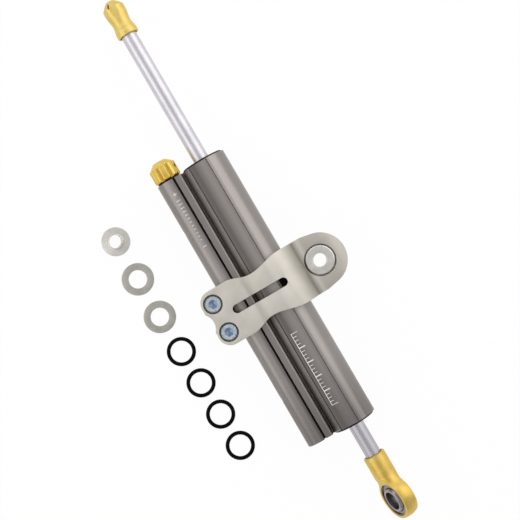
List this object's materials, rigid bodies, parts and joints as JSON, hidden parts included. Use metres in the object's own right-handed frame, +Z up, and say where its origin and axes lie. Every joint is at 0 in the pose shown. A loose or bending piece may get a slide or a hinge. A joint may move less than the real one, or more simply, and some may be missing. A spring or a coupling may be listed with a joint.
{
  "type": "steering damper",
  "caption": "Through-rod linear steering damper with a click adjuster on a side tube, a bolt-on frame clamp and a spherical rod end.",
  "frame": {"origin": "centre of the spherical bearing in the clamp ear, on the axis of the frame bolt", "axes": "+X along the rod towards the rod end, +Y from the rod towards the clamp ear, +Z up out of the spacer's flange"},
  "size_m": [0.3667, 0.1318, 0.0388],
  "materials": {
    "grey_anodised": "grey anodised extrusion, satin",
    "black_anodised": "black anodised, satin",
    "gold_anodised": "gold anodised, satin",
    "blasted_aluminium": "bead blasted and clear anodised",
    "spacer_aluminium": "turned, clear anodised",
    "turned_aluminium": "turned",
    "hard_chrome": "ground and polished hard chrome",
    "blue_zinc": "blue passivated zinc",
    "race_steel": "ground bearing steel",
    "ball_steel": "polished bearing steel",
    "spring_steel": "oiled spring steel",
    "black_oxide": "black oxide",
    "washer_steel": "tumbled stainless steel",
    "nitrile_rubber": "moulded nitrile rubber",
    "polyurethane": "moulded polyurethane",
    "bearing_bronze": "turned bronze",
    "filled_ptfe": "bronze filled fluoropolymer"
  },
  "bodies": {
    "damper_body": {"cylinder_body": "grey_anodised", "upper_gland": "black_anodised", "lower_gland": "black_anodised", "gland_o_rings": "nitrile_rubber", "rod_wipers": "nitrile_rubber", "rod_seals": "polyurethane", "rod_bushes": "bearing_bronze", "gland_circlips": "spring_steel", "frame_clamp": "blasted_aluminium", "clamp_screws": "blue_zinc", "clamp_race": "race_steel", "clamp_snap_ring": "black_oxide", "adjuster_housing": "black_anodised", "housing_o_ring": "nitrile_rubber", "needle_guide": "bearing_bronze", "valve_seat": "bearing_bronze", "reservoir_spring": "spring_steel", "reservoir_plug": "black_anodised", "plug_o_ring": "nitrile_rubber", "port_screws": "black_oxide"},
    "piston_slider": {"piston_band": "filled_ptfe"},
    "rod": {"damper_rod": "hard_chrome", "piston": "turned_aluminium", "piston_clips": "spring_steel", "end_cap": "gold_anodised", "rod_end": "gold_anodised", "rod_end_race": "race_steel", "rod_end_snap_ring": "black_oxide"},
    "eye_ball": {"rod_end_ball": "ball_steel"},
    "ear_ball": {"clamp_ball": "ball_steel"},
    "bolt_spacer": {"clamp_spacer": "spacer_aluminium"},
    "knob": {"adjuster_knob": "gold_anodised", "knob_grub_screw": "black_oxide", "adjuster_spindle": "ball_steel", "spindle_o_ring": "nitrile_rubber", "detent_ball": "ball_steel", "detent_spring": "spring_steel"},
    "needle": {"adjuster_needle": "ball_steel"},
    "floating_piston": {"reservoir_piston": "turned_aluminium", "reservoir_piston_o_ring": "nitrile_rubber"},
    "spare_spacer": {"loose_spacer": "spacer_aluminium"},
    "spare_washers": {"loose_washers": "washer_steel"},
    "spare_o_rings": {"loose_o_rings": "nitrile_rubber"}
  },
  "joints": [
    {"name": "rod_slide", "type": "slide", "parent": "damper_body", "child": "piston_slider", "axis": [1, 0, 0], "range_m": [-0.0208, 0.0872]},
    {"name": "rod_turn", "type": "hinge", "parent": "piston_slider", "child": "rod", "pos_m": [0, -0.03185, 0], "axis": [1, 0, 0], "continuous": true},
    {"name": "eye_ball_tilt", "type": "hinge", "parent": "rod", "child": "eye_ball", "pos_m": [0.1507, -0.03185, 0], "axis": [0, 0.4226, 0.9063], "range_deg": [-10, 10]},
    {"name": "ear_ball_tilt", "type": "hinge", "parent": "damper_body", "child": "ear_ball", "pos_m": [0, 0, 0], "axis": [1, 0, 0], "range_deg": [-5, 5]},
    {"name": "bolt_turn", "type": "hinge", "parent": "ear_ball", "child": "bolt_spacer", "pos_m": [0, 0, 0], "axis": [0, 0, 1], "continuous": true},
    {"name": "knob_turn", "type": "hinge", "parent": "damper_body", "child": "knob", "pos_m": [0, -0.05535, 0], "axis": [1, 0, 0], "range_deg": [-540, 360]},
    {"name": "needle_travel", "type": "slide", "parent": "knob", "child": "needle", "axis": [1, 0, 0], "range_m": [-0.00113, 0.00076]},
    {"name": "float_travel", "type": "slide", "parent": "damper_body", "child": "floating_piston", "axis": [1, 0, 0], "range_m": [-0.0035, 0.0035], "stiffness_N_per_m": 900, "deforming": ["reservoir_spring"]},
    {"name": "spare_spacer_lift", "type": "slide", "parent": "damper_body", "child": "spare_spacer", "axis": [0, 0, 1], "range_m": [0, 0.03]},
    {"name": "spare_washers_lift", "type": "slide", "parent": "damper_body", "child": "spare_washers", "axis": [0, 0, 1], "range_m": [0, 0.03]},
    {"name": "spare_o_rings_lift", "type": "slide", "parent": "damper_body", "child": "spare_o_rings", "axis": [0, 0, 1], "range_m": [0, 0.03]}
  ],
  "couplings": [
    {"joint": "needle_travel", "follows": "knob_turn", "m_per_rad": 0.00011937}
  ]
}
